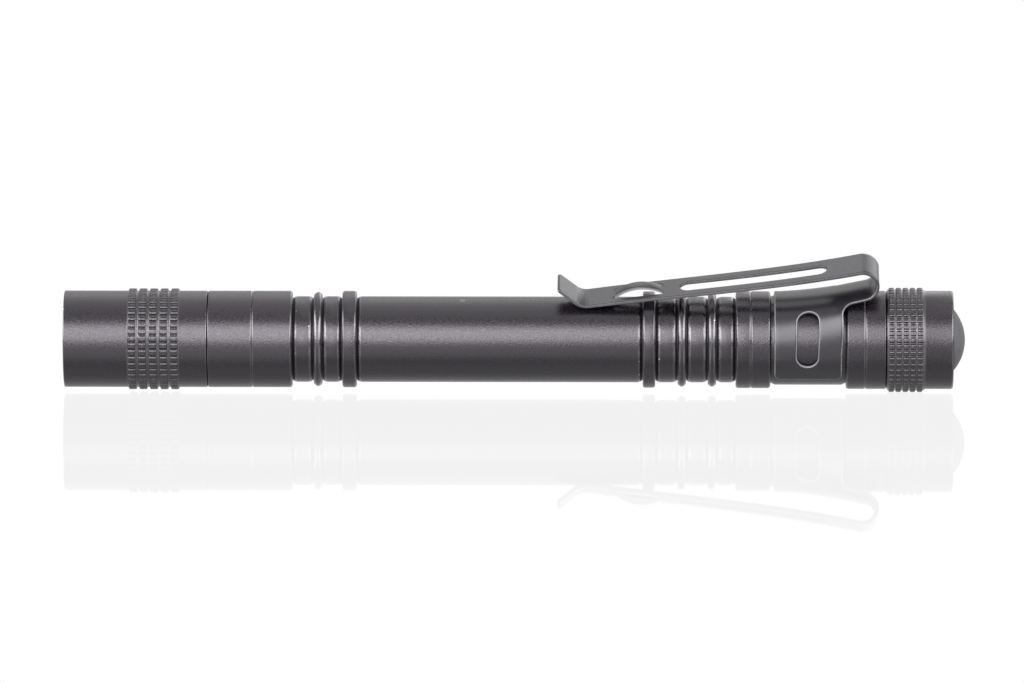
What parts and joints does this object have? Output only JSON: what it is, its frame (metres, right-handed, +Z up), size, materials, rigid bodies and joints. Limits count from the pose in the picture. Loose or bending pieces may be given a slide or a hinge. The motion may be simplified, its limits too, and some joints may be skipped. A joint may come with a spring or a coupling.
{
  "type": "penlight",
  "caption": "Slim black anodised penlight with a knurled screw-on head, a ringed barrel for AAA cells, a swivelling steel pocket clip and a domed rubber button in a knurled tail cap.",
  "frame": {"origin": "on the surface that the light lies on, under the middle of its length and of its axis", "axes": "+X along the axis from the head to the button, +Z up, so the front of the picture is towards -Y"},
  "size_m": [0.132, 0.0152, 0.0207],
  "materials": {
    "black_anodised": "black anodised over a fine blasted grain, satin, bare metal showing on a few edges",
    "clip_steel": "grey-black coated spring steel with bright sheared edges",
    "button_rubber": "matt dark grey moulded rubber with a little dust",
    "seal_rubber": "smooth black nitrile rubber",
    "lens_glass": "clear, faint coating",
    "reflector_metal": "bright vacuum-plated bowl with a light stipple",
    "brass": "turned brass",
    "led_board_metal": "aluminium board with a white solder mask",
    "led_package": "white ceramic",
    "led_phosphor": "clear silicone over yellow phosphor",
    "white_plastic": "moulded",
    "lead_insulation": "silicone insulation",
    "circuit_board": "green solder mask",
    "cell_wrap": null,
    "black_plastic": "moulded",
    "spring_wire": "nickel-plated wire"
  },
  "bodies": {
    "barrel": {"barrel": "black_anodised", "led_pill": "brass", "led_board": "led_board_metal", "led_emitter": "led_package", "led_dome": "led_phosphor", "led_ring": "white_plastic", "led_leads": "lead_insulation", "driver_board": "circuit_board", "driver_contact": "brass", "front_cell": "cell_wrap", "rear_cell": "cell_wrap"},
    "head_seal": {"head_oring": "seal_rubber"},
    "head": {"head_bezel": "black_anodised", "lens_seal": "seal_rubber", "front_lens": "lens_glass", "reflector": "reflector_metal"},
    "tail_seal": {"tail_oring": "seal_rubber"},
    "tail": {"tail_cap": "black_anodised", "retaining_ring": "brass", "switch_housing": "black_plastic", "switch_board": "circuit_board", "switch_contact": "brass", "tail_spring": "spring_wire", "switch_spring": "spring_wire"},
    "button": {"switch_boot": "button_rubber", "switch_plunger": "white_plastic"},
    "clip_band": {"clip_band": "clip_steel"},
    "clip_arm": {"clip_arm": "clip_steel"}
  },
  "joints": [
    {"name": "head_turn", "type": "hinge", "parent": "barrel", "child": "head_seal", "pos_m": [-0.05, 0, 0.00765], "axis": [-1, 0, 0], "range_deg": [0, 1800]},
    {"name": "head_travel", "type": "slide", "parent": "head_seal", "child": "head", "axis": [-1, 0, 0], "range_m": [0, 0.005]},
    {"name": "tail_turn", "type": "hinge", "parent": "barrel", "child": "tail_seal", "pos_m": [0.06, 0, 0.00765], "axis": [1, 0, 0], "range_deg": [0, 1620]},
    {"name": "tail_travel", "type": "slide", "parent": "tail_seal", "child": "tail", "axis": [1, 0, 0], "range_m": [0, 0.0045]},
    {"name": "button_press", "type": "slide", "parent": "tail", "child": "button", "axis": [-1, 0, 0], "range_m": [0, 0.0015], "stiffness_N_per_m": 800, "deforming": ["switch_spring"]},
    {"name": "clip_swivel", "type": "hinge", "parent": "barrel", "child": "clip_band", "pos_m": [0.04345, 0, 0.00765], "axis": [1, 0, 0], "continuous": true},
    {"name": "clip_flex", "type": "hinge", "parent": "clip_band", "child": "clip_arm", "pos_m": [0.05346, -0.00342, 0.01731], "axis": [0, 0.9426, 0.3338], "range_deg": [0, 5], "stiffness_Nm_per_rad": 1}
  ],
  "couplings": [
    {"joint": "head_turn", "follows": "head_travel", "rad_per_m": 6283.2},
    {"joint": "tail_turn", "follows": "tail_travel", "rad_per_m": 6283.2}
  ]
}
